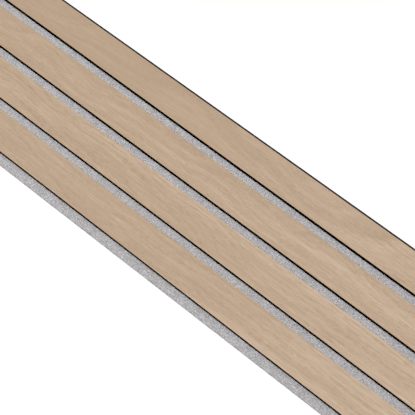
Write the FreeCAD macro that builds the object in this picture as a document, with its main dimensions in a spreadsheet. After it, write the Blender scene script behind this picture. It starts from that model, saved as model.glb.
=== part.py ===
import FreeCAD, Part
import Sketcher
import os

# Acoustic slat wall panel: four slats of black MDF with oak faces, glued and stapled to a sheet of grey felt.
# Lengths are in millimetres. X runs along the slats, Y across them, and +Z points away from the wall.
# The origin is the middle of the felt's back, which lies against the wall, or on the floor with the panel laid down.

SIZES = {
    # The whole panel
    "panel_length": 2400.0,
    # Slats: a bar of MDF with a sheet of oak glued on its face
    "slat_count": 4,
    "slat_width": 60.0,
    "slat_gap": 16.0,
    "core_thickness": 11.4,
    "veneer_thickness": 0.6,
    "veneer_arris": 0.25,
    # Felt sheet: it stands out past the first slat by one gap, so that the next panel carries the rhythm on
    "felt_thickness": 9.0,
    # Black edging on the outer side of the last slat
    "strip_thickness": 3.0,
    "strip_rounding": 0.5,
    # Staples: driven from the back, through the felt and into the core, one row across all the slats
    "staple_rows": 8,
    "staple_end_distance": 150.0,
    "staple_crown": 12.8,
    "wire_thickness": 0.9,
    "wire_width": 1.3,
    "inner_bend": 0.3,
    "tip_flat": 0.1,
    "staple_recess": 0.6,
    "staple_clearance": 0.05,
    # Core left between a leg's tip and the oak, and how much of that the hole takes past the tip
    "tip_cover": 3.8,
    "tip_clearance": 0.5,
}

# Lengths that follow from the sizes, written the way a cell or a constraint takes them
SLAT_PITCH = "(sizes.slat_width + sizes.slat_gap)"
SLATS_WIDTH = f"(({SLAT_PITCH}) * (sizes.slat_count - 1) + sizes.slat_width)"
PANEL_WIDTH = f"(sizes.slat_gap + {SLATS_WIDTH} + sizes.strip_thickness)"
FIRST_SLAT_Y = f"(sizes.slat_gap + sizes.slat_width / 2 - {PANEL_WIDTH} / 2)"
FACE_Z = "(sizes.felt_thickness + sizes.core_thickness)"
FIRST_STAPLE_X = "(sizes.staple_end_distance - sizes.panel_length / 2)"
STAPLE_RUN = "(sizes.panel_length - 2 * sizes.staple_end_distance)"
STAPLE_LEG = f"({FACE_Z} - sizes.tip_cover - sizes.staple_recess)"
LEG_SPREAD = "(sizes.staple_crown - sizes.wire_thickness)"
LEG_SLOT_LENGTH = "(sizes.wire_thickness + 2 * sizes.staple_clearance)"
LEG_SLOT_WIDTH = "(sizes.wire_width + 2 * sizes.staple_clearance)"
BEND_SLOT_LENGTH = "(sizes.wire_thickness + sizes.inner_bend + 2 * sizes.staple_clearance)"
BEND_SPREAD = "(sizes.staple_crown - sizes.wire_thickness - sizes.inner_bend)"
CROWN_SLOT_LENGTH = "(sizes.staple_crown + 2 * sizes.staple_clearance)"
CROWN_SLOT_DEPTH = "(sizes.staple_recess + sizes.wire_thickness)"
BITE_DEPTH = "(sizes.core_thickness - sizes.tip_cover + sizes.tip_clearance)"

# A rectangle is first drawn as a square of this size, as far from the sketch's axes. Its constraints then set its
# size and place.
DRAWN_AT = 20.0

# How near two places count as one
SAME_PLACE = 1e-6

# Cubic millimetres in a cubic centimetre
MM3_PER_CM3 = 1000


def slat_y(index):
    """The middle of a slat, counted from the felt's free margin."""
    return f"{FIRST_SLAT_Y} + {index} * {SLAT_PITCH}"


def make_sheet(doc):
    """One row a size: its name beside its value."""
    sheet = doc.addObject("Spreadsheet::Sheet", "sizes")
    for row, (name, value) in enumerate(SIZES.items(), start=1):
        sheet.set(f"A{row}", name)
        sheet.set(f"B{row}", str(value))
        sheet.setAlias(f"B{row}", name)
    doc.recompute()
    return sheet


def make_body(doc, label, y="0", z="0"):
    """A piece of the panel, set at its place across the panel and above the felt's back."""
    body = doc.addObject("PartDesign::Body", label)
    body.Label = label
    body.setExpression("Placement.Base.y", y)
    body.setExpression("Placement.Base.z", z)
    return body


def origin_feature(body, role):
    """A base plane or axis of the body's own origin."""
    return next(item for item in body.Origin.OriginFeatures if item.Role == role)


def make_sketch(body, name, plane, x="0", y="0"):
    """A sketch on one of the body's base planes, its centre moved by x and y in that plane."""
    sketch = body.newObject("Sketcher::SketchObject", name)
    sketch.AttachmentSupport = (origin_feature(body, plane), "")
    sketch.MapMode = "FlatFace"
    sketch.setExpression("AttachmentOffset.Base.x", x)
    sketch.setExpression("AttachmentOffset.Base.y", y)
    return sketch


def add_rectangle(sketch, name, length, width, x=None, y=None):
    """A rectangle of a length and width, its centre at x and y from the sketch's centre, both above zero if given."""
    near, far = DRAWN_AT, 2 * DRAWN_AT
    corners = [(near, near), (far, near), (far, far), (near, far)]
    points = [FreeCAD.Vector(*corner, 0) for corner in corners]
    first = sketch.GeometryCount
    sides = range(first, first + len(points))
    for i, start in enumerate(points):
        end = points[(i + 1) % len(points)]
        sketch.addGeometry(Part.LineSegment(start, end), False)
    for side, following in zip(sides, [*sides[1:], sides[0]]):
        constrain(sketch, ("Coincident", side, 2, following, 1))
    for side in sides[::2]:
        constrain(sketch, ("Horizontal", side))
    for side in sides[1::2]:
        constrain(sketch, ("Vertical", side))
    bottom, right, top = sides[:3]
    constrain(sketch, ("DistanceX", bottom, 1, bottom, 2, DRAWN_AT), f"{name}_length", length)
    constrain(sketch, ("DistanceY", right, 1, right, 2, DRAWN_AT), f"{name}_width", width)
    if x is None and y is None:
        constrain(sketch, ("Symmetric", bottom, 1, top, 1, -1, 1))
        return
    middle = sketch.addGeometry(Part.Point(FreeCAD.Vector(DRAWN_AT, DRAWN_AT, 0)), True)
    constrain(sketch, ("Symmetric", bottom, 1, top, 1, middle, 1))
    place_point(sketch, middle, "DistanceX", -2, f"{name}_x", x)
    place_point(sketch, middle, "DistanceY", -1, f"{name}_y", y)


def place_point(sketch, point, kind, axis, name, distance):
    """Sets a point a distance from the sketch's centre, or on the axis through it."""
    if distance is None:
        constrain(sketch, ("PointOnObject", point, 1, axis))
    else:
        constrain(sketch, (kind, -1, 1, point, 1, DRAWN_AT), name, distance)


def constrain(sketch, terms, name=None, value=None):
    """Adds a constraint, and ties its size to the sheet where it has one."""
    index = sketch.addConstraint(Sketcher.Constraint(*terms))
    if name:
        sketch.renameConstraint(index, name)
        sketch.setExpression(f"Constraints.{name}", value)


def add_pad(body, name, sketch, length, both_ways=False):
    """Raises a sketch into a solid, upwards or half to each side."""
    pad = body.newObject("PartDesign::Pad", name)
    pad.Profile = sketch
    pad.SideType = "Symmetric" if both_ways else "One side"
    pad.setExpression("Length", length)
    return pad


def add_pocket(body, name, sketch, depth=None):
    """Cuts a sketch upwards out of the solid, to a depth or right through."""
    pocket = body.newObject("PartDesign::Pocket", name)
    pocket.Profile = sketch
    pocket.Reversed = True
    if depth is None:
        pocket.Type = "ThroughAll"
    else:
        pocket.setExpression("Length", depth)
    return pocket


def add_rows(body, name, originals, columns=False):
    """Repeats features in rows along the panel and, for columns, from slat to slat across it."""
    pattern = body.newObject("PartDesign::LinearPattern", name)
    pattern.Originals = originals
    pattern.Direction = (origin_feature(body, "X_Axis"), [""])
    pattern.setExpression("Length", STAPLE_RUN)
    pattern.setExpression("Occurrences", "sizes.staple_rows")
    if columns:
        pattern.Direction2 = (origin_feature(body, "Y_Axis"), [""])
        pattern.setExpression("Length2", f"{SLAT_PITCH} * (sizes.slat_count - 1)")
        pattern.setExpression("Occurrences2", "sizes.slat_count")
    body.Tip = pattern
    return pattern


def edges_where(shape, test):
    """The names of the straight edges whose middle point passes a test."""
    names = []
    for number, edge in enumerate(shape.Edges, start=1):
        if test(edge, edge.CenterOfMass):
            names.append(f"Edge{number}")
    return names


def runs_along(edge, axis):
    """Whether an edge is straight and runs along an axis, a vector of length 1."""
    run = edge.Vertexes[-1].Point - edge.Vertexes[0].Point
    return edge.Length - abs(run.dot(axis)) < SAME_PLACE


def draw_slot_pair(sketch, length, spread):
    """Two slots as wide as a staple's wire needs, either side of the middle of its crown."""
    add_rectangle(sketch, "slot_a", length, LEG_SLOT_WIDTH, x=f"{spread} / 2")
    add_rectangle(sketch, "slot_b", length, LEG_SLOT_WIDTH, x=f"-{spread} / 2")


def make_felt(doc):
    """The felt sheet, pressed in under each staple's crown and pierced by its legs."""
    body = make_body(doc, "felt_backing")
    outline = make_sketch(body, "felt_outline", "XY_Plane")
    add_rectangle(outline, "felt", "sizes.panel_length", PANEL_WIDTH)
    add_pad(body, "felt_sheet", outline, "sizes.felt_thickness")
    doc.recompute()
    crown = make_sketch(body, "crown_outline", "XY_Plane", FIRST_STAPLE_X, FIRST_SLAT_Y)
    add_rectangle(crown, "crown", CROWN_SLOT_LENGTH, LEG_SLOT_WIDTH)
    crown_slot = add_pocket(body, "crown_slot", crown, CROWN_SLOT_DEPTH)
    bends = make_sketch(body, "felt_bend_outlines", "XY_Plane", FIRST_STAPLE_X, FIRST_SLAT_Y)
    draw_slot_pair(bends, BEND_SLOT_LENGTH, BEND_SPREAD)
    bend_slots = add_pocket(body, "felt_bend_slots", bends, f"{CROWN_SLOT_DEPTH} + sizes.inner_bend")
    legs = make_sketch(body, "felt_leg_outlines", "XY_Plane", FIRST_STAPLE_X, FIRST_SLAT_Y)
    draw_slot_pair(legs, LEG_SLOT_LENGTH, LEG_SPREAD)
    leg_slots = add_pocket(body, "felt_leg_slots", legs)
    doc.recompute()
    add_rows(body, "felt_slot_rows", [crown_slot, bend_slots, leg_slots], columns=True)
    return body


def make_core(doc, index):
    """The black MDF bar of one slat, with the holes that the staples' legs cut in its back."""
    number = index + 1
    body = make_body(doc, f"slat_core_{number}", slat_y(index), "sizes.felt_thickness")
    outline = make_sketch(body, f"core_outline_{number}", "XY_Plane")
    add_rectangle(outline, "core", "sizes.panel_length", "sizes.slat_width")
    add_pad(body, f"core_bar_{number}", outline, "sizes.core_thickness")
    doc.recompute()
    legs = make_sketch(body, f"core_leg_outlines_{number}", "XY_Plane", FIRST_STAPLE_X)
    draw_slot_pair(legs, LEG_SLOT_LENGTH, LEG_SPREAD)
    bites = add_pocket(body, f"core_leg_slots_{number}", legs, BITE_DEPTH)
    doc.recompute()
    add_rows(body, f"core_slot_rows_{number}", [bites])
    return body


def make_face(doc, index):
    """The oak sheet on one slat, its top edges eased by sanding."""
    number = index + 1
    body = make_body(doc, f"oak_face_{number}", slat_y(index), FACE_Z)
    outline = make_sketch(body, f"veneer_outline_{number}", "XY_Plane")
    add_rectangle(outline, "veneer", "sizes.panel_length", "sizes.slat_width")
    sheet = add_pad(body, f"veneer_sheet_{number}", outline, "sizes.veneer_thickness")
    doc.recompute()
    top = sheet.Shape.BoundBox.ZMax
    arris = body.newObject("PartDesign::Chamfer", f"veneer_arris_{number}")
    arris.Base = (sheet, edges_where(sheet.Shape, lambda edge, middle: abs(middle.z - top) < SAME_PLACE))
    arris.setExpression("Size", "sizes.veneer_arris")
    return body


def make_strip(doc):
    """The black edging on the last slat's outer side, rounded along its outer top edge."""
    side_y = f"{PANEL_WIDTH} / 2 - sizes.strip_thickness / 2"
    body = make_body(doc, "edge_strip", side_y, "sizes.felt_thickness")
    outline = make_sketch(body, "strip_outline", "XY_Plane")
    add_rectangle(outline, "strip", "sizes.panel_length", "sizes.strip_thickness")
    bar = add_pad(body, "strip_bar", outline, "sizes.core_thickness + sizes.veneer_thickness")
    doc.recompute()
    box = bar.Shape.BoundBox
    outer_top = edges_where(
        bar.Shape,
        lambda edge, middle: abs(middle.z - box.ZMax) + abs(middle.y - box.YMax) < SAME_PLACE,
    )
    rounding = body.newObject("PartDesign::Fillet", "strip_rounded_edge")
    rounding.Base = (bar, outer_top)
    rounding.setExpression("Radius", "sizes.strip_rounding")
    return body


def bend_edges(shape, x, z):
    """The edges across the wire that lie at x, on either leg, and at z."""
    across = FreeCAD.Vector(0, 1, 0)

    def lies_there(edge, middle):
        return runs_along(edge, across) and abs(abs(middle.x) - x) + abs(middle.z - z) < SAME_PLACE

    return edges_where(shape, lies_there)


def add_dressing(body, kind, name, base, edges, size, expression):
    """A fillet or a chamfer on named edges of the feature before it."""
    feature = body.newObject(f"PartDesign::{kind}", name)
    feature.Base = (base, edges)
    feature.setExpression(size, expression)
    body.Document.recompute()
    return feature


def make_staples(doc, sheet):
    """One wire staple, bent at the crown's ends and chisel-pointed at its tips, then repeated."""
    body = make_body(doc, "staples", FIRST_SLAT_Y, "sizes.staple_recess")
    body.setExpression("Placement.Base.x", FIRST_STAPLE_X)
    blank = make_sketch(body, "staple_outline", "XZ_Plane", "0", f"{STAPLE_LEG} / 2")
    add_rectangle(blank, "staple", "sizes.staple_crown", STAPLE_LEG)
    bar = add_pad(body, "staple_blank", blank, "sizes.wire_width", both_ways=True)
    doc.recompute()
    inside_z = f"sizes.wire_thickness + {STAPLE_LEG} / 2"
    inside = make_sketch(body, "staple_inside", "XZ_Plane", "0", inside_z)
    add_rectangle(inside, "inside", "sizes.staple_crown - 2 * sizes.wire_thickness", STAPLE_LEG)
    opening = body.newObject("PartDesign::Pocket", "staple_opening")
    opening.Profile = inside
    opening.SideType = "Symmetric"
    opening.Type = "ThroughAll"
    doc.recompute()
    outer_x = bar.Shape.BoundBox.XMax
    inner_x = outer_x - sheet.wire_thickness
    tip_z = bar.Shape.BoundBox.ZMax
    inner = bend_edges(opening.Shape, inner_x, sheet.wire_thickness)
    hollow = add_dressing(body, "Fillet", "inner_bends", opening, inner, "Radius", "sizes.inner_bend")
    outer = bend_edges(hollow.Shape, outer_x, 0)
    radius = "sizes.inner_bend + sizes.wire_thickness"
    bend = add_dressing(body, "Fillet", "outer_bends", hollow, outer, "Radius", radius)
    ends = bend_edges(bend.Shape, outer_x, tip_z) + bend_edges(bend.Shape, inner_x, tip_z)
    bevel = "(sizes.wire_thickness - sizes.tip_flat) / 2"
    add_dressing(body, "Chamfer", "staple_tips", bend, ends, "Size", bevel)
    rows = add_rows(body, "staple_rows_across", [], columns=True)
    rows.TransformMode = "Whole shape"
    return body


def check(doc, pieces):
    """Stops the script if a feature failed, or a piece isn't one or more sound solids."""
    for item in doc.Objects:
        if {"Invalid", "Error"} & set(item.State):
            raise RuntimeError(f"{item.Name} failed: {item.State}")
    for piece in pieces:
        shape = piece.Shape
        if shape.isNull() or not shape.isValid() or not shape.Solids:
            raise RuntimeError(f"{piece.Label} has no sound solid")


def main():
    doc = FreeCAD.newDocument("acoustic_slat_panel")
    sheet = make_sheet(doc)
    slats = range(int(sheet.slat_count))
    pieces = [make_felt(doc)]
    pieces += [make_core(doc, index) for index in slats]
    pieces += [make_face(doc, index) for index in slats]
    pieces += [make_strip(doc), make_staples(doc, sheet)]
    doc.recompute()
    check(doc, pieces)
    os.makedirs("parts", exist_ok=True)
    for piece in pieces:
        shape = piece.Shape
        shape.exportStep(f"parts/{piece.Label}.step")
        print(f"{piece.Label}: {len(shape.Solids)} solids, {shape.Volume / MM3_PER_CM3:.2f} cm3")


main()
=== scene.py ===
import math

import bpy
import numpy as np
from mathutils import Matrix, Vector


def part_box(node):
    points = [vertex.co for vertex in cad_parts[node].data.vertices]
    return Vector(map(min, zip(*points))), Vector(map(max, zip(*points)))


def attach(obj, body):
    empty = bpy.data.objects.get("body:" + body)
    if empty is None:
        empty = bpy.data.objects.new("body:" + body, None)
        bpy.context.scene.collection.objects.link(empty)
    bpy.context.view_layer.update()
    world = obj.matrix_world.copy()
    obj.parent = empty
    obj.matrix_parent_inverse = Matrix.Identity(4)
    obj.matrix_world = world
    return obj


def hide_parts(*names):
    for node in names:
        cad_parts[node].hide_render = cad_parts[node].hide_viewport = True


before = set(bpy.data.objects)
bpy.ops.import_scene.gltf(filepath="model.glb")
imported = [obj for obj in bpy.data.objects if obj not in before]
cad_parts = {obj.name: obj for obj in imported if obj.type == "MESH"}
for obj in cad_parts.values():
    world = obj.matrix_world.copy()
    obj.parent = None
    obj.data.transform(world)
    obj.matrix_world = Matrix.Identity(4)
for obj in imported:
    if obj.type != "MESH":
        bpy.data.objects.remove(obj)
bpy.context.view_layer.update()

# The looks of an acoustic slat wall panel: oak on black fibreboard bars, on a sheet of grey pressed felt.
# Lengths are in metres. X runs along the slats, Y across them, and Z up from the felt's back.

MM = 0.001
SLATS = range(1, 5)

# Camera: where the photograph was taken from, on the bare margin's side and steeply above the panel.
# The lens and the sensor are in millimetres
CAMERA_PLACE = (0.5933, -0.5393, 1.9401)
CAMERA_AIM = (-0.0014, 0.0014, 0.021)
CAMERA_ROLL = math.radians(-8.876)
CAMERA_LENS = 108.73
SENSOR_WIDTH = 36.0

# Light: the sky is a strength of white from all round, and a lamp's share is how much of full white it
# gives a face turned to it. Most of the light falls straight into the gaps, so that the felt there is
# nearly as bright as on the margin. Some comes aslant from beyond the edging, so that each slat's near side
# keeps a soft shade at its foot. The side lamps' light rises a little, and the back lamp's goes up aslant
SKY = 0.09
KEY_SHARE = 0.89
SLANT_SHARE = 0.07
SLANT_TILT = math.radians(28)
SIDE_SHARE = 0.24
SIDE_RISE = 0.1
BACK_SHARE = 0.55
BACK_SLANT = 0.1
LAMP_SOFTNESS = math.radians(20)

# Floor: half its width, how far it lies below the panel, how much of a shadow it shows, and how pale it is
# to the light that it throws back
FLOOR_HALF = 8.0
FLOOR_GAP = 0.2 * MM
SHADOW_SHARE = 0.25
FLOOR_PAINT = 0.8

# Felt: the radius of its cut edges, how far it swells in the open strips and how uneven it is there,
# and the shortest and longest waves of that unevenness and of the cut edge's
FELT_EDGE = 0.8 * MM
FELT_SWELL = 0.25 * MM
FELT_RELIEF = 0.1 * MM
FELT_WAVES = (9 * MM, 40 * MM)
RIM_WAVES = (7 * MM, 60 * MM)

# Dents in the felt's back: how deep they are at a staple's crown and how far they reach
DENT_DEPTH = 1.15 * MM
DENT_REACH = 2.2 * MM

# Felt's mesh: the step between crosswise lines, the steps across an open strip, across the dents under a
# slat and across the plain part beside them, how far the dents' steps reach from the slat's middle, and the
# steps along a row of staples
FELT_STEP = 6 * MM
STRIP_STEPS = 5
DENT_STEPS = 8
PLAIN_STEPS = 3
DENT_SPAN = 7 * MM
ROW_STEPS = 16

# Loose fibres: half the length of the longest, how high it rises from its roots, how far it wanders
# sideways, how deep its roots lie in the felt, and half its thickness
FIBRE_RUN = 2.5 * MM
FIBRE_RISE = 0.9 * MM
FIBRE_BOW = 0.45 * MM
FIBRE_ROOT = 0.3 * MM
FIBRE_RADIUS = 0.035 * MM
# The shortest and the flattest as shares of these, a fibre's rings of points and the points in each, and
# how many fibres there are on a strip, a long edge and an end
FIBRE_SHORTEST = 0.35
FIBRE_FLATTEST = 0.5
FIBRE_STATIONS = 5
FIBRE_SIDES = 3
STRIP_FIBRES = 950
SIDE_FIBRES = 1400
END_FIBRES = 330

# Staples, as they are made: flat wire, bent and pointed, with so many points of the mesh round each bend
STAPLE_ROWS = 8
STAPLE_CROWN = 12.8 * MM
WIRE_THICKNESS = 0.9 * MM
WIRE_WIDTH = 1.3 * MM
WIRE_ROUNDING = 0.2 * MM
INNER_BEND = 0.3 * MM
BEND_POINTS = 6
TIP_LENGTH = 0.4 * MM
TIP_FLAT = 0.1 * MM

# Edging: the radius of its outer top edge, the mesh's points round that and its places along the bar
EDGING_ROUNDING = 0.5 * MM
ROUNDING_POINTS = 7
EDGING_STATIONS = 49

# Each slat's oak: its place along the trunk, how far its middle lies beside the trunk's heart and above it,
# both before the heart sways and slopes, the strength of its figure, how far it is blended to the shaded
# colour halfway along, and by how much that falls from one end to the other
SLAT_OAK = (
    (6.587, 0.05, 0.039, 0.3, 0.2, 0.2),
    (2.39, 0.048, 0.066, 0.26, 0.06, 0.12),
    (7.465, -0.048, 0.057, 0.48, 0.2, 0.3),
    (4.63, -0.03, 0.069, 0.5, 0.39, 0.4),
)
# How far apart the slats' sheets lie in the noise, and how far a tone drifts to either side of the middle
SHEETS_APART = 1.7
DRIFT_REACH = 0.45

# The trunk: the size of its heart's swing sideways and inwards, how far it runs aslant in a metre, and the
# size of its rings' wobble
SWAY_SIDEWAYS = 0.07
SWAY_INWARDS = 0.06
HEART_SLOPE = 0.012
RING_WOBBLE = 0.007

# Oak's noises: how many clouds lie in a metre along the slat, across it or the rings, and through it
SIDEWAYS_CLOUDS = (2.6, 3.0, 1)
INWARDS_CLOUDS = (3.1, 3.0, 1)
WOBBLE_CLOUDS = (8, 24, 1)
RING_CLOUDS = (1.5, 210, 1)
GROWTH_CLOUDS = (3, 800, 1)
BAND_CLOUDS = (1.3, 30, 1)
STREAK_CLOUDS = (7, 420, 1)
CROWDING_CLOUDS = (6, 520, 1)
PORE_CLOUDS = (110, 3100, 1)
MARK_CLOUDS = (34, 640, 1)
FLECK_CLOUDS = (70, 420, 1)

# The speckle's threads and clouds, as many as lie in the space of one of its grains
SPECKLE_THREADS = (0.5, 2.1, 1.3)
SPECKLE_CLOUDS = (0.12, 0.12, 0.12)

# The other finishes' noises, in clouds to the metre
FELT_CLUMPS = (430, 430, 430)
FELT_CLOUDS = (70, 70, 70)
FELT_LAYERS = (55, 55, 1300)
LOOSE_CLOUDS = (220, 220, 220)
BOARD_CHIPS = (2200, 2200, 2900)
BOARD_LAYERS = (30, 30, 420)
EDGING_GRAINS = (2900, 2900, 2900)
WIRE_STREAKS = (900, 5000, 900)

# Felt fibres, as the surface shows them: the length, width and depth of one, how it tilts out of the sheet,
# how many ways they lie, how many curls lie in a metre, and the size of a curl's swing
FIBRE_CELL = (5 * MM, 0.3 * MM, 0.3 * MM)
FIBRE_TILT = (0.3, 0.2)
FIBRE_LAYERS = 7
CURL_CLOUDS = (180, 180, 180)
CURL = 4 * MM

# How deep each finish's fine relief is
OAK_RELIEF = 0.06 * MM
EDGING_RELIEF = 0.03 * MM
BOARD_RELIEF = 0.1 * MM
FELT_PILE = 0.5 * MM
WIRE_RELIEF = 0.01 * MM

# Screen colours, each channel 0 to 255
OAK_PALE, OAK_DEEP, OAK_SHADED = (201, 177, 151), (188, 163, 136), (174, 149, 124)
OAK_RINGS, OAK_GROWTH, OAK_STREAKS = (163, 137, 112), (160, 133, 109), (165, 139, 114)
OAK_MARKS, OAK_PORES, OAK_FLECKS = (163, 137, 112), (126, 100, 77), (212, 192, 168)
OAK_EDGE = (146, 118, 92)
# The edging film's colours are near-black partly for the band's own black and partly as painted shade:
# together they make the dark line along the panel's far edge
FILM_AND_SHADE_PALE, FILM_AND_SHADE_DARK = (30, 23, 18), (20, 15, 11)
BOARD_SIDE_DARK, BOARD_SIDE_PALE = (7, 4, 3), (18, 12, 10)
BOARD_END_DARK, BOARD_END_PALE, BOARD_END_DENSE = (22, 18, 16), (62, 53, 47), (20, 16, 14)
FELT_GREY, FELT_PALE, FELT_LAYER = (142, 139, 140), (226, 223, 224), (128, 125, 126)
FIBRE_DARK, FIBRE_PALE = (98, 95, 97), (228, 226, 228)
LOOSE_DARK, LOOSE_PALE = (122, 119, 121), (232, 230, 232)
ZINC_BRIGHT, ZINC_DULL = (176, 178, 180), (150, 151, 152)

FELT_LOW, FELT_HIGH = (np.array(corner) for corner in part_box("felt_backing"))
SLAT_BOXES = [[np.array(corner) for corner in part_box(f"slat_core_{i}")] for i in SLATS]
SLAT_MIDDLES = np.array([(low[1] + high[1]) / 2 for low, high in SLAT_BOXES])
STAPLE_LOW, STAPLE_HIGH = (np.array(corner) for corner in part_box("staples"))
STAPLE_X = np.linspace(STAPLE_LOW[0] + STAPLE_CROWN / 2, STAPLE_HIGH[0] - STAPLE_CROWN / 2, STAPLE_ROWS)


# Node helpers

def add_node(tree, kind, inputs=None, **settings):
    """A node with its settings, and its inputs set to plain values or joined to sockets."""
    made = tree.nodes.new(kind)
    for name, value in settings.items():
        setattr(made, name, value)
    for key, value in (inputs or {}).items():
        if isinstance(value, bpy.types.NodeSocket):
            tree.links.new(value, made.inputs[key])
        else:
            made.inputs[key].default_value = value
    return made


def calculate(tree, operation, first, second=0.0, clamp=False):
    """One calculation on two values, each a number or a socket."""
    inputs = {0: first, 1: second}
    return add_node(tree, "ShaderNodeMath", inputs, operation=operation, use_clamp=clamp).outputs[0]


def stretch(tree, vector, scale, shift=(0, 0, 0)):
    """The coordinates scaled on each axis, then shifted: a noise gets as many clouds to the metre."""
    inputs = {"Vector": vector, "Scale": scale, "Location": shift}
    return add_node(tree, "ShaderNodeMapping", inputs).outputs["Vector"]


def noise(tree, vector, detail=2.0, roughness=0.5, distortion=0.0):
    """Soft cloudy values, mostly from 0.3 to 0.7, one cloud to each unit of the coordinates."""
    inputs = {"Vector": vector, "Scale": 1.0, "Detail": detail}
    inputs |= {"Roughness": roughness, "Distortion": distortion}
    return add_node(tree, "ShaderNodeTexNoise", inputs).outputs[0]


def swing(tree, value, size):
    """A cloudy value turned into one that swings about zero, mostly by less than a quarter of the size."""
    return calculate(tree, "MULTIPLY", calculate(tree, "SUBTRACT", value, 0.5), size)


def calculate_vector(tree, operation, inputs):
    """One calculation on vectors, its inputs given by number or name."""
    return add_node(tree, "ShaderNodeVectorMath", inputs, operation=operation).outputs[0]


def part_of(tree, value, share):
    """A share of a value."""
    return calculate(tree, "MULTIPLY", value, share)


def remap(tree, value, low, high, to_low=0.0, to_high=1.0):
    """A value carried from one range to another, and held inside it."""
    inputs = {"Value": value, "From Min": low, "From Max": high, "To Min": to_low, "To Max": to_high}
    return add_node(tree, "ShaderNodeMapRange", inputs).outputs[0]


def colour(screen):
    """A screen colour as the linear one that nodes take."""
    value = np.array(screen) / 255
    linear = np.where(value <= 0.04045, value / 12.92, ((value + 0.055) / 1.055) ** 2.4)
    return (*linear.tolist(), 1.0)


def blend_colours(tree, share, first, second):
    """One colour turning into another as the share goes from 0 to 1, each a socket or a screen colour."""
    tints = [tint if isinstance(tint, bpy.types.NodeSocket) else colour(tint) for tint in (first, second)]
    inputs = {0: share, 6: tints[0], 7: tints[1]}
    return add_node(tree, "ShaderNodeMix", inputs, data_type="RGBA").outputs[2]


def new_group(name, takes, gives):
    """A node group with named inputs and outputs, each given with its socket type."""
    group = bpy.data.node_groups.new(name, "ShaderNodeTree")
    for label, kind in takes:
        group.interface.new_socket(label, in_out="INPUT", socket_type=f"NodeSocket{kind}")
    for label, kind in gives:
        group.interface.new_socket(label, in_out="OUTPUT", socket_type=f"NodeSocket{kind}")
    source = group.nodes.new("NodeGroupInput")
    target = group.nodes.new("NodeGroupOutput")
    return group, source, target


def new_material(name):
    """An empty material with its Principled shader and the piece's own coordinates."""
    material = bpy.data.materials.new(name)
    material.use_nodes = True
    tree = material.node_tree
    shader = tree.nodes["Principled BSDF"]
    place = tree.nodes.new("ShaderNodeTexCoord").outputs["Object"]
    return material, tree, shader, place


def facing(tree, axis):
    """How squarely the surface faces along one of the piece's axes, either way: 0 not at all, 1 fully."""
    normal = tree.nodes.new("ShaderNodeTexCoord").outputs["Normal"]
    part = add_node(tree, "ShaderNodeSeparateXYZ", {0: normal}).outputs[axis]
    return remap(tree, calculate(tree, "ABSOLUTE", part), 0.4, 0.8)


def drift(tree, place):
    """A slow change along the panel: 0 towards one end, 1 towards the other, and smooth between."""
    along = add_node(tree, "ShaderNodeSeparateXYZ", {0: place}).outputs["X"]
    inputs = {"Value": along, "From Min": -DRIFT_REACH, "From Max": DRIFT_REACH}
    return add_node(tree, "ShaderNodeMapRange", inputs, interpolation_type="SMOOTHSTEP").outputs[0]


def add_bump(tree, shader, height, distance):
    """Fine relief from a height between 0 and 1, the distance being how deep it is."""
    bump = add_node(tree, "ShaderNodeBump", {"Height": height, "Distance": distance, "Strength": 1.0})
    tree.links.new(bump.outputs["Normal"], shader.inputs["Normal"])


# Shared effects

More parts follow.
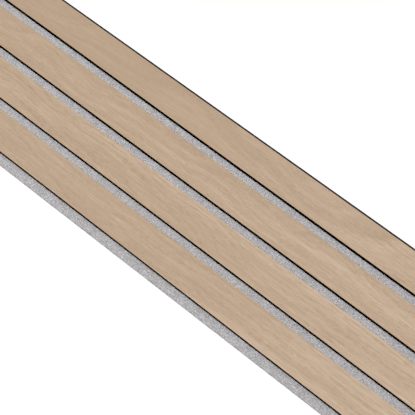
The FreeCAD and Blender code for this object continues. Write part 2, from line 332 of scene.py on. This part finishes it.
def build_oak_group():
    """Sliced oak: the face is a flat slice through a slightly crooked trunk.

    A point's ring is its distance from the trunk's heart, which wanders along the slat, so that rings
    close over in arches where the slice meets them flat and run out as streaks at the sides. Pores crowd
    the early wood of each ring. Depth is how far the slice lies above the heart, Figure is how strongly
    rings show, and Tone is how far the whole is blended to the shaded colour.
    """
    group, source, target = new_group(
        "sliced oak",
        [("Place", "Vector"), ("Depth", "Float"), ("Figure", "Float"), ("Tone", "Float")],
        [("Colour", "Color"), ("Roughness", "Float"), ("Height", "Float")],
    )
    place = source.outputs["Place"]
    parts = add_node(group, "ShaderNodeSeparateXYZ", {0: place}).outputs
    sideways = noise(group, stretch(group, place, SIDEWAYS_CLOUDS, (0.3, 0.1, 2.0)), detail=1)
    inwards = noise(group, stretch(group, place, INWARDS_CLOUDS, (4.7, 3.2, 6.0)), detail=1)
    wobble = noise(group, stretch(group, place, WOBBLE_CLOUDS, (1.1, 2.3, 9.0)), detail=2)
    off_heart = calculate(group, "ADD", parts["Y"], swing(group, sideways, SWAY_SIDEWAYS))
    depth = calculate(group, "ADD", source.outputs["Depth"], swing(group, inwards, SWAY_INWARDS))
    depth = calculate(group, "ADD", depth, calculate(group, "MULTIPLY", parts["X"], HEART_SLOPE))
    square = calculate(group, "MULTIPLY", off_heart, off_heart)
    square = calculate(group, "ADD", square, calculate(group, "MULTIPLY", depth, depth))
    ring = calculate(group, "ADD", calculate(group, "SQRT", square), swing(group, wobble, RING_WOBBLE))

    # Rings of uneven width, read off noise along the ring number, and finer ones within them
    ring_parts = {"X": parts["X"], "Y": ring, "Z": parts["Z"]}
    ring_place = add_node(group, "ShaderNodeCombineXYZ", ring_parts).outputs[0]
    rings = noise(group, stretch(group, ring_place, RING_CLOUDS), detail=2, roughness=0.6)
    growth = noise(group, stretch(group, ring_place, GROWTH_CLOUDS, (5, 0, 0)), detail=2, roughness=0.6)
    # Broad bands of tone and thin streaks, both straight along the slat
    bands = noise(group, stretch(group, place, BAND_CLOUDS, (2, 8, 0)), detail=2, distortion=0.2)
    streak_place = stretch(group, place, STREAK_CLOUDS, (9, 1, 0))
    streaks = noise(group, streak_place, detail=3, roughness=0.65, distortion=0.2)

    # Pores: thin dark dashes along the grain, crowded in some lines and sparse in others
    crowding = noise(group, stretch(group, ring_place, CROWDING_CLOUDS, (1, 7, 3)), detail=1)
    crowding = remap(group, crowding, 0.38, 0.62, 0.15, 1.0)
    dashes = noise(group, stretch(group, place, PORE_CLOUDS), detail=1, roughness=0.4)
    pores = calculate(group, "MULTIPLY", remap(group, dashes, 0.54, 0.62), crowding)
    # Marks: longer soft dashes. Flecks: pale short patches where the slice shaved a ray
    marks = noise(group, stretch(group, place, MARK_CLOUDS, (6, 2, 5)), detail=2, roughness=0.6)
    patches = noise(group, stretch(group, place, FLECK_CLOUDS, (0, 0, 4)), detail=2, distortion=0.5)
    flecks = remap(group, patches, 0.66, 0.78)

    # Each colour is laid over those before it, by a mask that the noise makes between two of its values
    figure = source.outputs["Figure"]
    tint = blend_colours(group, remap(group, bands, 0.36, 0.64), OAK_PALE, OAK_DEEP)
    dark = calculate(group, "MULTIPLY", remap(group, rings, 0.45, 0.66), figure)
    tint = blend_colours(group, dark, tint, OAK_RINGS)
    lines = calculate(group, "MULTIPLY", remap(group, growth, 0.45, 0.68), part_of(group, figure, 0.6))
    tint = blend_colours(group, lines, tint, OAK_GROWTH)
    tint = blend_colours(group, remap(group, streaks, 0.45, 0.72, 0.0, 0.55), tint, OAK_STREAKS)
    tint = blend_colours(group, remap(group, marks, 0.46, 0.68, 0.0, 0.6), tint, OAK_MARKS)
    tint = blend_colours(group, part_of(group, pores, 0.6), tint, OAK_PORES)
    tint = blend_colours(group, part_of(group, flecks, 0.4), tint, OAK_FLECKS)
    tint = blend_colours(group, source.outputs["Tone"], tint, OAK_SHADED)
    rough = remap(group, streaks, 0.3, 0.75, 0.5, 0.62)
    rough = calculate(group, "SUBTRACT", rough, part_of(group, flecks, 0.08))
    height = remap(group, streaks, 0.2, 0.8, 0.4, 0.8)
    height = calculate(group, "SUBTRACT", height, part_of(group, pores, 0.5))
    group.links.new(tint, target.inputs["Colour"])
    group.links.new(rough, target.inputs["Roughness"])
    group.links.new(height, target.inputs["Height"])
    return group


def build_speckle_group():
    """A mask of two things scattered through each other, one grain to a unit, and clouds of each."""
    group, source, target = new_group(
        "speckle",
        [("Place", "Vector")],
        [("Share", "Float"), ("Height", "Float"), ("Cloud", "Float")],
    )
    place = source.outputs["Place"]
    grain = noise(group, place, detail=3, roughness=0.7, distortion=0.4)
    thread_place = stretch(group, place, SPECKLE_THREADS, (3, 5, 7))
    threads = noise(group, thread_place, detail=2, roughness=0.6, distortion=1.2)
    cloud = noise(group, stretch(group, place, SPECKLE_CLOUDS, (11, 2, 4)), detail=3)
    both = calculate(group, "ADD", part_of(group, grain, 0.55), part_of(group, threads, 0.45))
    share = calculate(group, "ADD", remap(group, both, 0.36, 0.64), swing(group, cloud, 0.5), True)
    group.links.new(share, target.inputs["Share"])
    group.links.new(both, target.inputs["Height"])
    group.links.new(cloud, target.inputs["Cloud"])
    return group


def fibre_lines(tree, place, turn, shift):
    """Values near 1 along thin lines that lie at a turn about Z, and near 0 between them."""
    inputs = {"Vector": place, "Location": shift, "Rotation": (*FIBRE_TILT, turn), "Scale": FIBRE_CELL}
    turned = add_node(tree, "ShaderNodeMapping", inputs, vector_type="TEXTURE").outputs["Vector"]
    return remap(tree, noise(tree, turned, detail=1, roughness=0.4), 0.54, 0.66)


def build_felt_group():
    """Pressed felt: soft clumps of pale and grey, with fine pale and dark fibres that curl every way.

    Where the sheet is cut through, the layers that it was pressed from show as darker lines.
    """
    group, source, target = new_group(
        "pressed felt",
        [("Place", "Vector"), ("Cut", "Float")],
        [("Colour", "Color"), ("Height", "Float"), ("Cloud", "Float")],
    )
    place = source.outputs["Place"]
    curl_inputs = {"Vector": stretch(group, place, CURL_CLOUDS), "Scale": 1.0, "Detail": 1.0}
    curl = add_node(group, "ShaderNodeTexNoise", curl_inputs).outputs["Color"]
    moved = calculate_vector(group, "SUBTRACT", {0: curl, 1: (0.5, 0.5, 0.5)})
    moved = calculate_vector(group, "SCALE", {0: moved, "Scale": CURL})
    curled = calculate_vector(group, "ADD", {0: place, 1: moved})
    clumps = noise(group, stretch(group, curled, FELT_CLUMPS), detail=3, roughness=0.6)
    cloud = noise(group, stretch(group, place, FELT_CLOUDS, (11, 2, 4)), detail=3)

    # Fibres lie every way round, by turns pale and dark
    pale = dark = 0.0
    for k in range(FIBRE_LAYERS):
        turn = math.pi * (k + 0.3) / FIBRE_LAYERS
        lines = fibre_lines(group, curled, turn, (0.7 * k, 0.3 * k, 0.1 * k))
        if k % 2:
            dark = calculate(group, "MAXIMUM", dark, lines)
        else:
            pale = calculate(group, "MAXIMUM", pale, lines)

    mix = calculate(group, "ADD", remap(group, clumps, 0.38, 0.62), swing(group, cloud, 0.7))
    mix = calculate(group, "SUBTRACT", mix, part_of(group, drift(group, place), 0.1), True)
    tint = blend_colours(group, mix, FELT_GREY, FELT_PALE)
    layering = noise(group, stretch(group, place, FELT_LAYERS, (2, 5, 1)), detail=2, roughness=0.6)
    layering = remap(group, layering, 0.42, 0.66, 0.0, 0.45)
    layering = calculate(group, "MULTIPLY", layering, source.outputs["Cut"])
    tint = blend_colours(group, layering, tint, FELT_LAYER)
    tint = blend_colours(group, part_of(group, dark, 0.4), tint, FIBRE_DARK)
    tint = blend_colours(group, part_of(group, pale, 0.5), tint, FIBRE_PALE)
    height = calculate(group, "ADD", part_of(group, clumps, 0.5), part_of(group, pale, 0.35))
    height = calculate(group, "SUBTRACT", height, part_of(group, dark, 0.15))
    group.links.new(tint, target.inputs["Colour"])
    group.links.new(height, target.inputs["Height"])
    group.links.new(cloud, target.inputs["Cloud"])
    return group


OAK_GROUP = build_oak_group()
SPECKLE_GROUP = build_speckle_group()
FELT_GROUP = build_felt_group()


# Materials

def oak_material(number, along, beside, above, figure, tone, fade):
    """One slat's oak, matt lacquered, with its own row of SLAT_OAK."""
    material, tree, shader, place = new_material(f"oak_{number}")
    middle = float(SLAT_MIDDLES[number - 1])
    sheet = stretch(tree, place, (1, 1, 1), (along, beside - middle, SHEETS_APART * number))
    grain = add_node(tree, "ShaderNodeGroup", node_tree=OAK_GROUP)
    tree.links.new(sheet, grain.inputs["Place"])
    grain.inputs["Depth"].default_value = above
    grain.inputs["Figure"].default_value = figure
    shading = remap(tree, drift(tree, place), 0.0, 1.0, tone + fade / 2, tone - fade / 2)
    tree.links.new(shading, grain.inputs["Tone"])
    tint = blend_colours(tree, facing(tree, "Z"), OAK_EDGE, grain.outputs["Colour"])
    tree.links.new(tint, shader.inputs["Base Color"])
    tree.links.new(grain.outputs["Roughness"], shader.inputs["Roughness"])
    add_bump(tree, shader, grain.outputs["Height"], OAK_RELIEF)
    shader.inputs["Specular IOR Level"].default_value = 0.35
    return material


def edging_and_shade_material():
    """Black edging: a smooth hard film with a faint grain in it. Its near-black colour makes the dark line
    along the panel's far edge, partly the band's own black and partly painted shade.
    """
    material, tree, shader, place = new_material("black_edging")
    speckle = add_node(tree, "ShaderNodeGroup", node_tree=SPECKLE_GROUP)
    tree.links.new(stretch(tree, place, EDGING_GRAINS), speckle.inputs["Place"])
    # The film's near-black is partly painted shade, which makes the dark line along the panel's far edge
    tint = blend_colours(tree, speckle.outputs["Share"], FILM_AND_SHADE_PALE, FILM_AND_SHADE_DARK)
    tree.links.new(tint, shader.inputs["Base Color"])
    tree.links.new(remap(tree, speckle.outputs["Cloud"], 0.3, 0.7, 0.54, 0.66), shader.inputs["Roughness"])
    add_bump(tree, shader, speckle.outputs["Height"], EDGING_RELIEF)
    shader.inputs["Specular IOR Level"].default_value = 0.1
    return material


def core_material():
    """Fibreboard dyed black: long sides sanded smooth and nearly black, and sawn ends greyer and rough."""
    material, tree, shader, place = new_material("black_fibreboard")
    speckle = add_node(tree, "ShaderNodeGroup", node_tree=SPECKLE_GROUP)
    tree.links.new(stretch(tree, place, BOARD_CHIPS), speckle.inputs["Place"])
    sides = blend_colours(tree, speckle.outputs["Share"], BOARD_SIDE_DARK, BOARD_SIDE_PALE)
    ends = blend_colours(tree, speckle.outputs["Share"], BOARD_END_DARK, BOARD_END_PALE)
    denser = noise(tree, stretch(tree, place, BOARD_LAYERS), detail=2)
    ends = blend_colours(tree, remap(tree, denser, 0.4, 0.62, 0.0, 0.5), ends, BOARD_END_DENSE)
    sawn = facing(tree, "X")
    tree.links.new(blend_colours(tree, sawn, sides, ends), shader.inputs["Base Color"])
    tree.links.new(remap(tree, sawn, 0.0, 1.0, 0.82, 0.95), shader.inputs["Roughness"])
    add_bump(tree, shader, speckle.outputs["Height"], BOARD_RELIEF)
    shader.inputs["Specular IOR Level"].default_value = 0.0
    return material


def felt_material():
    """Grey polyester felt: matt, with a little sheen from the loose fibre ends."""
    material, tree, shader, place = new_material("grey_felt")
    felt = add_node(tree, "ShaderNodeGroup", node_tree=FELT_GROUP)
    tree.links.new(place, felt.inputs["Place"])
    tree.links.new(calculate(tree, "SUBTRACT", 1.0, facing(tree, "Z")), felt.inputs["Cut"])
    tree.links.new(felt.outputs["Colour"], shader.inputs["Base Color"])
    tree.links.new(remap(tree, felt.outputs["Cloud"], 0.3, 0.7, 0.86, 0.98), shader.inputs["Roughness"])
    add_bump(tree, shader, felt.outputs["Height"], FELT_PILE)
    shader.inputs["Specular IOR Level"].default_value = 0.15
    shader.inputs["Sheen Weight"].default_value = 0.12
    shader.inputs["Sheen Roughness"].default_value = 0.5
    return material


def loose_fibre_material():
    """Single polyester fibres: pale, some of them dark."""
    material, tree, shader, place = new_material("loose_fibre")
    mixed = noise(tree, stretch(tree, place, LOOSE_CLOUDS), detail=1)
    tint = blend_colours(tree, remap(tree, mixed, 0.35, 0.65), LOOSE_DARK, LOOSE_PALE)
    tree.links.new(tint, shader.inputs["Base Color"])
    tree.links.new(remap(tree, mixed, 0.3, 0.7, 0.6, 0.8), shader.inputs["Roughness"])
    shader.inputs["Specular IOR Level"].default_value = 0.3
    return material


def staple_material():
    """Zinc-coated wire: dull bright metal, drawn lengthwise."""
    material, tree, shader, place = new_material("staple_wire")
    drawn = noise(tree, stretch(tree, place, WIRE_STREAKS), detail=2)
    tint = blend_colours(tree, remap(tree, drawn, 0.3, 0.7), ZINC_BRIGHT, ZINC_DULL)
    tree.links.new(tint, shader.inputs["Base Color"])
    tree.links.new(remap(tree, drawn, 0.3, 0.7, 0.3, 0.42), shader.inputs["Roughness"])
    shader.inputs["Metallic"].default_value = 1.0
    add_bump(tree, shader, drawn, WIRE_RELIEF)
    return material


OAK = [oak_material(i, *row) for i, row in zip(SLATS, SLAT_OAK)]
FELT = felt_material()
LOOSE_FIBRE = loose_fibre_material()
BLACK_CORE = core_material()
EDGING_FINISH_AND_SHADE = edging_and_shade_material()
STAPLE_WIRE = staple_material()


# Mesh helpers

def make_piece(name, points, faces, material, smooth=True):
    """A mesh piece at the origin, fixed to the panel."""
    mesh = bpy.data.meshes.new(name)
    mesh.from_pydata(points.tolist(), [], faces.tolist() if isinstance(faces, np.ndarray) else faces)
    mesh.validate()
    mesh.polygons.foreach_set("use_smooth", np.full(len(mesh.polygons), smooth))
    mesh.materials.append(material)
    piece = bpy.data.objects.new(name, mesh)
    bpy.context.scene.collection.objects.link(piece)
    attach(piece, "root")
    return piece


def ripples(first, second, seed, shortest, longest, count=40):
    """Gentle unevenness, mostly from -1.5 to 1.5: a sum of seeded sine waves that cross at every angle."""
    random = np.random.default_rng(seed)
    length = random.uniform(shortest, longest, count)
    angle = random.uniform(0, 2 * math.pi, count)
    phase = random.uniform(0, 2 * math.pi, count)
    total = np.zeros_like(first)
    for k in range(count):
        run = first * math.cos(angle[k]) + second * math.sin(angle[k])
        total += np.sin(2 * math.pi * run / length[k] + phase[k])
    return total / math.sqrt(count)


def bridge(first, second):
    """Quads between two closed rings of point numbers."""
    return np.stack([first, np.roll(first, -1), np.roll(second, -1), second], axis=1)


def carry_section(section, path, sideways, thickness_scale):
    """A closed section carried along a path, with flat ends.

    A point is the path's, plus the section's first value times the path's normal in the XZ plane, times the
    scale at that station, plus its second value along sideways.
    """
    run = np.gradient(path, axis=0)
    run /= np.linalg.norm(run, axis=1, keepdims=True)
    normal = np.cross(run, sideways)
    points = (
        path[:, None, :]
        + normal[:, None, :] * section[None, :, :1] * thickness_scale[:, None, None]
        + sideways[None, None, :] * section[None, :, 1:]
    )
    stations, around = points.shape[:2]
    rings = np.arange(stations * around).reshape(stations, around)
    walls = np.concatenate([bridge(rings[k], rings[k + 1]) for k in range(stations - 1)])
    ends = [rings[0][::-1].tolist(), rings[-1].tolist()]
    return points.reshape(-1, 3), walls.tolist() + ends


def rounded_rectangle(width, height, radius, steps=3):
    """Points round a rectangle about the middle, its corners quarter circles."""
    angles = np.linspace(0, math.pi / 2, steps)
    corners = []
    for quarter, (x, y) in enumerate(((1, 1), (-1, 1), (-1, -1), (1, -1))):
        turn = angles + quarter * math.pi / 2
        middle = np.array([x * (width / 2 - radius), y * (height / 2 - radius)])
        corners.append(middle + radius * np.stack([np.cos(turn), np.sin(turn)], axis=1))
    return np.concatenate(corners)


# Felt

def felt_lines_across():
    """Where the felt's lengthwise lines lie: close in the open strips and about the staples, else wide."""
    stops = [FELT_LOW[1] + FELT_EDGE]
    for (low, high), middle in zip(SLAT_BOXES, SLAT_MIDDLES):
        spans = (
            (low[1], STRIP_STEPS),
            (middle - DENT_SPAN, PLAIN_STEPS),
            (middle + DENT_SPAN, DENT_STEPS),
            (high[1], PLAIN_STEPS),
        )
        for end, steps in spans:
            stops += np.linspace(stops[-1], end, steps + 1)[1:].tolist()
    return np.array(stops + [FELT_HIGH[1] - FELT_EDGE])


def felt_lines_along():
    """Where the felt's crosswise lines lie: evenly spaced, with closer ones about each row of staples."""
    reach = 2 * FELT_STEP
    even = np.arange(FELT_LOW[0] + FELT_EDGE, FELT_HIGH[0] - FELT_EDGE, FELT_STEP)
    even = np.append(even, FELT_HIGH[0] - FELT_EDGE)
    far = np.min(np.abs(even[:, None] - STAPLE_X[None, :]), axis=1) > reach
    close = (STAPLE_X[:, None] + np.linspace(-reach, reach, ROW_STEPS + 1)[None, :]).ravel()
    return np.sort(np.concatenate([even[far], close]))


def staple_dents(x, y):
    """How far the felt's back is pulled in: a bell curve of the distance from a crown's middle line."""
    from_row = np.min(np.abs(x[..., None] - STAPLE_X), axis=-1)
    from_middle = np.min(np.abs(y[..., None] - SLAT_MIDDLES), axis=-1)
    beyond = np.maximum(from_row - STAPLE_CROWN / 2, 0)
    distance = np.hypot(beyond, from_middle)
    return DENT_DEPTH * np.exp(-((distance / DENT_REACH) ** 2))


def open_strips(y):
    """How open the felt lies: 0 under a slat or the edging, and half a sine over each gap, 1 in its middle.

    The bare margin is half of such a gap, from 1 at the felt's edge to 0 at the first slat.
    """
    share = np.zeros_like(y)
    start = 2 * FELT_LOW[1] - SLAT_BOXES[0][0][1]
    for low, high in SLAT_BOXES:
        end = low[1]
        inside = (y > start) & (y < end)
        share[inside] = np.sin(math.pi * (y[inside] - start) / (end - start))
        start = high[1]
    return share


def make_felt():
    """The felt sheet: two faces of crossing lines, joined round the rim by a softly rounded cut edge.

    The upper face is flat, plus a swell and a sum of waves in the open strips. The back is pulled in at the
    staples. The cut edge is a quarter circle, a straight wall and a quarter circle, and wavers outwards.
    """
    along, across = felt_lines_along(), felt_lines_across()
    x, y = np.meshgrid(along, across, indexing="ij")
    opened = open_strips(y)
    rise = FELT_SWELL * opened + FELT_RELIEF * np.minimum(opened * 3, 1) * ripples(x, y, 3, *FELT_WAVES)
    top = FELT_HIGH[2] + rise
    back = FELT_LOW[2] + staple_dents(x, y)
    faces_up = np.stack([x, y, top], axis=-1).reshape(-1, 3)
    faces_down = np.stack([x, y, back], axis=-1).reshape(-1, 3)
    number = np.arange(x.size).reshape(x.shape)
    corners = [number[:-1, :-1], number[1:, :-1], number[1:, 1:], number[:-1, 1:]]
    quads = np.stack(corners, axis=-1).reshape(-1, 4)

    rim = np.concatenate([number[:, 0], number[-1, 1:], number[-2::-1, -1], number[0, -2:0:-1]])
    flat = faces_up[rim, :2]
    ends = np.array([[along[0], across[0]], [along[-1], across[-1]]])
    outward = (flat == ends[1]).astype(float) - (flat == ends[0]).astype(float)
    frayed = FELT_RELIEF * ripples(flat[:, 0], flat[:, 1], 5, *RIM_WAVES)
    quarter = [(FELT_EDGE * (1 - math.cos(turn)), math.sin(turn)) for turn in np.radians([30, 60, 90])]
    levels = [(faces_up[rim, 2] - drop, share) for drop, share in quarter]
    levels.append((np.full(len(rim), (FELT_LOW[2] + FELT_HIGH[2]) / 2), 1.0))
    levels += [(faces_down[rim, 2] + drop, share) for drop, share in quarter[::-1]]
    rings = []
    for level, share in levels:
        spread = flat + outward * ((FELT_EDGE + frayed) * share)[:, None]
        rings.append(np.column_stack([spread, level]))
    points = np.concatenate([faces_up, faces_down] + rings)
    starts = [2 * x.size + k * len(rim) for k in range(len(rings))]
    loops = [rim] + [start + np.arange(len(rim)) for start in starts] + [rim + x.size]
    walls = np.concatenate([bridge(lower, upper) for upper, lower in zip(loops[:-1], loops[1:])])
    faces = np.concatenate([quads, quads[:, ::-1] + x.size, walls])
    felt = make_piece("felt_sheet", points, faces, FELT)
    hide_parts("felt_backing")


def fibre_bed(random, count, low, high, out, first, second):
    """Seeded fibres over a box: their spots in the felt, their way out of it, and their ways along it.

    A way along it is the first direction, turned by an even random angle towards the second.
    """
    spots = random.uniform(low, high, (count, 3))
    turn = random.uniform(0, 2 * math.pi, count)
    alongs = np.cos(turn)[:, None] * first + np.sin(turn)[:, None] * second
    return spots, np.tile(out, (count, 1)), alongs


def fibre_beds(random):
    """The fibres' spots, ways out and ways along, on the bare margin, in the gaps and on the cut edges."""
    forth, across, up = np.eye(3)
    beds = []
    starts = [FELT_LOW[1]] + [high[1] for low, high in SLAT_BOXES[:-1]]
    stops = [low[1] for low, high in SLAT_BOXES]
    for start, stop in zip(starts, stops):
        low = (FELT_LOW[0] + FIBRE_RUN, start + FIBRE_RUN, FELT_HIGH[2] - FIBRE_ROOT)
        high = (FELT_HIGH[0] - FIBRE_RUN, stop - FIBRE_RUN, FELT_HIGH[2] - FIBRE_ROOT)
        beds.append(fibre_bed(random, STRIP_FIBRES, low, high, up, forth, across))
    for axis, count in ((1, SIDE_FIBRES), (0, END_FIBRES)):
        out, level = np.eye(3)[axis], np.eye(3)[1 - axis]
        for side, face in ((-1, FELT_LOW), (1, FELT_HIGH)):
            low, high = FELT_LOW + FIBRE_RUN, FELT_HIGH - FIBRE_RUN
            low[axis] = high[axis] = face[axis] - side * FIBRE_ROOT
            beds.append(fibre_bed(random, count, low, high, side * out, level, up))
    return [np.concatenate(part) for part in zip(*beds)]


def make_loose_fibres():
    """Loose fibres on the felt: thin three-sided arcs, rooted in it at both ends.

    At t from -1 to 1 an arc's middle line is spot + along * run * t + out * rise * (1 - t * t)
    + sideways * bow * sin(3 * t), where run, rise and bow differ from fibre to fibre.
    """
    random = np.random.default_rng(11)
    spots, outs, alongs = fibre_beds(random)
    sideways = np.cross(outs, alongs)
    count = len(spots)
    run = random.uniform(FIBRE_SHORTEST, 1.0, (count, 1)) * FIBRE_RUN
    rise = random.uniform(FIBRE_FLATTEST, 1.0, (count, 1)) * FIBRE_RISE
    bow = random.uniform(-1.0, 1.0, (count, 1)) * FIBRE_BOW
    turns = np.linspace(0, 2 * math.pi, FIBRE_SIDES + 1)[:-1]
    rings = []
    for t in np.linspace(-1, 1, FIBRE_STATIONS):
        middle = spots + alongs * run * t + outs * rise * (1 - t * t) + sideways * bow * math.sin(3 * t)
        spokes = [math.cos(turn) * outs + math.sin(turn) * sideways for turn in turns]
        rings.append(np.stack([middle + FIBRE_RADIUS * spoke for spoke in spokes], axis=1))
    points = np.stack(rings, axis=1).reshape(-1, 3)
    number = np.arange(FIBRE_STATIONS * FIBRE_SIDES).reshape(FIBRE_STATIONS, FIBRE_SIDES)
    walls = np.concatenate([bridge(number[k + 1], number[k]) for k in range(FIBRE_STATIONS - 1)])
    ends = [number[0].tolist(), number[-1][::-1].tolist()]
    one_fibre = walls.tolist() + ends
    faces = [[corner + k * number.size for corner in face] for k in range(count) for face in one_fibre]
    make_piece("loose_fibres", points, faces, LOOSE_FIBRE)


# Staples

def make_staples():
    """All the staples: one flat wire carried down a leg, round both bends and up the other, then copied."""
    half = STAPLE_CROWN / 2 - WIRE_THICKNESS / 2
    bend = INNER_BEND + WIRE_THICKNESS / 2
    low, high = STAPLE_LOW[2] + WIRE_THICKNESS / 2, STAPLE_HIGH[2]
    turn = np.linspace(0, math.pi / 2, BEND_POINTS)
    leg = np.array([[-half, high], [-half, high - TIP_LENGTH], [-half, (high + low) / 2]])
    curve = np.stack([-half + bend - bend * np.cos(turn), low + bend - bend * np.sin(turn)], axis=1)
    left = np.concatenate([leg, curve])
    route = np.concatenate([left, left[::-1] * [-1, 1]])
    path = np.stack([route[:, 0], np.zeros(len(route)), route[:, 1]], axis=1)
    scale = np.ones(len(path))
    scale[[0, -1]] = TIP_FLAT / WIRE_THICKNESS
    section = rounded_rectangle(WIRE_THICKNESS, WIRE_WIDTH, WIRE_ROUNDING)
    points, faces = carry_section(section, path, np.array([0.0, 1.0, 0.0]), scale)
    spots = np.array([[x, y, 0] for x in STAPLE_X for y in SLAT_MIDDLES])
    every = (spots[:, None, :] + points[None, :, :]).reshape(-1, 3)
    count = len(points)
    copies = [[corner + k * count for corner in face] for k in range(len(spots)) for face in faces]
    staples = make_piece("wire_staples", every, copies, STAPLE_WIRE)
    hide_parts("staples")


# Edging

def make_edging():
    """The black edging: a flat bar whose outer top edge is a quarter circle, carried along the panel. Its
    near-black finish is partly painted shade along the panel's far edge.
    """
    low, high = (np.array(corner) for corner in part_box("edge_strip"))
    turn = np.linspace(0, math.pi / 2, ROUNDING_POINTS)
    round_y = high[1] - EDGING_ROUNDING + EDGING_ROUNDING * np.cos(turn)
    round_z = high[2] - EDGING_ROUNDING + EDGING_ROUNDING * np.sin(turn)
    section_y = np.concatenate([[low[1], high[1]], round_y, [low[1]]])
    section_z = np.concatenate([[low[2], low[2]], round_z, [high[2]]])
    stations = np.linspace(low[0], high[0], EDGING_STATIONS)
    points = np.stack(
        [
            np.repeat(stations, len(section_y)),
            np.tile(section_y, len(stations)),
            np.tile(section_z, len(stations)),
        ],
        axis=1,
    )
    rings = np.arange(len(points)).reshape(len(stations), -1)
    walls = np.concatenate([bridge(rings[k + 1], rings[k]) for k in range(len(stations) - 1)])
    ends = [rings[0][::-1].tolist(), rings[-1].tolist()]
    edging = make_piece("edging", points, walls.tolist() + ends, EDGING_FINISH_AND_SHADE, smooth=False)
    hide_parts("edge_strip")


# Carried-over pieces

def dress(node, material):
    """Gives a CAD piece its finish."""
    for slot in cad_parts[node].material_slots:
        slot.material = material


# Stage, light and camera

def make_floor():
    """A wide white floor that keeps a faint shadow and can't be seen from below."""
    mesh = bpy.data.meshes.new("floor")
    signs = ((-1, -1), (1, -1), (1, 1), (-1, 1))
    corners = [(x * FLOOR_HALF, y * FLOOR_HALF, -FLOOR_GAP) for x, y in signs]
    mesh.from_pydata(corners, [], [(0, 1, 2, 3)])
    floor = bpy.data.objects.new("floor", mesh)
    bpy.context.scene.collection.objects.link(floor)
    material = bpy.data.materials.new("white_floor")
    material.use_nodes = True
    tree = material.node_tree
    tree.nodes.clear()
    path = tree.nodes.new("ShaderNodeLightPath")
    paint = add_node(tree, "ShaderNodeBsdfDiffuse", {"Color": (FLOOR_PAINT, FLOOR_PAINT, FLOOR_PAINT, 1)})
    lit = add_node(tree, "ShaderNodeBsdfDiffuse", {"Color": (1, 1, 1, 1)})
    glow = add_node(tree, "ShaderNodeEmission", {"Color": (1, 1, 1, 1), "Strength": 1.0})
    white = add_node(tree, "ShaderNodeMixShader", {0: SHADOW_SHARE, 1: glow.outputs[0], 2: lit.outputs[0]})
    shown = calculate(tree, "ADD", path.outputs["Is Camera Ray"], path.outputs["Is Glossy Ray"])
    shown = calculate(tree, "ADD", shown, path.outputs["Is Transmission Ray"], True)
    seen = add_node(tree, "ShaderNodeMixShader", {0: shown, 1: paint.outputs[0], 2: white.outputs[0]})
    clear = tree.nodes.new("ShaderNodeBsdfTransparent")
    from_below = tree.nodes.new("ShaderNodeNewGeometry").outputs["Backfacing"]
    open_way = calculate(tree, "ADD", from_below, path.outputs["Is Shadow Ray"], True)
    both = add_node(tree, "ShaderNodeMixShader", {0: open_way, 1: seen.outputs[0], 2: clear.outputs[0]})
    out = tree.nodes.new("ShaderNodeOutputMaterial")
    tree.links.new(both.outputs[0], out.inputs["Surface"])
    mesh.materials.append(material)


def make_world():
    """Even soft light from all round, and plain white where the camera or a reflection sees past it all."""
    world = bpy.data.worlds.new("studio")
    bpy.context.scene.world = world
    world.use_nodes = True
    tree = world.node_tree
    path = tree.nodes.new("ShaderNodeLightPath")
    seen = calculate(tree, "ADD", path.outputs["Is Camera Ray"], path.outputs["Is Glossy Ray"], True)
    seen = calculate(tree, "ADD", seen, path.outputs["Is Transmission Ray"], True)
    strength = remap(tree, seen, 0.0, 1.0, SKY, 1.0)
    background = tree.nodes["Background"]
    background.inputs["Color"].default_value = (1, 1, 1, 1)
    tree.links.new(strength, background.inputs["Strength"])


def make_lamp(name, direction, share):
    """A far soft lamp: its light goes along a direction, and a face turned to it gets a share of white."""
    lamp = bpy.data.lights.new(name, "SUN")
    lamp.energy = share * math.pi
    lamp.angle = LAMP_SOFTNESS
    holder = bpy.data.objects.new(name, lamp)
    holder.rotation_euler = Vector(direction).to_track_quat("-Z", "Y").to_euler()
    bpy.context.scene.collection.objects.link(holder)


def make_camera():
    """The photograph's view: looking from the camera's place at its aim, and rolled about that line."""
    eye = Vector(CAMERA_PLACE)
    forward = (Vector(CAMERA_AIM) - eye).normalized()
    level = forward.cross(Vector((0, 0, 1))).normalized()
    above = level.cross(forward)
    right = level * math.cos(CAMERA_ROLL) + above * math.sin(CAMERA_ROLL)
    up = above * math.cos(CAMERA_ROLL) - level * math.sin(CAMERA_ROLL)
    data = bpy.data.cameras.new("camera")
    data.lens = CAMERA_LENS
    data.sensor_width = SENSOR_WIDTH
    camera = bpy.data.objects.new("camera", data)
    matrix = Matrix((right, up, -forward)).transposed().to_4x4()
    matrix.translation = eye
    camera.matrix_world = matrix
    bpy.context.scene.collection.objects.link(camera)
    bpy.context.scene.camera = camera


make_camera()
make_felt()
make_loose_fibres()
make_staples()
make_edging()
for i, oak in zip(SLATS, OAK):
    dress(f"oak_face_{i}", oak)
    dress(f"slat_core_{i}", BLACK_CORE)
make_floor()
make_world()
make_lamp("key", (0, 0, -1), KEY_SHARE)
make_lamp("slant", (0, -math.sin(SLANT_TILT), -math.cos(SLANT_TILT)), SLANT_SHARE)
make_lamp("back", (BACK_SLANT, BACK_SLANT, 1), BACK_SHARE)
for name, x, y in (("left", 1, 0), ("right", -1, 0), ("front", 0, 1), ("rear", 0, -1)):
    make_lamp(name, (x, y, SIDE_RISE), SIDE_SHARE)
bpy.context.scene.view_settings.view_transform = "Standard"
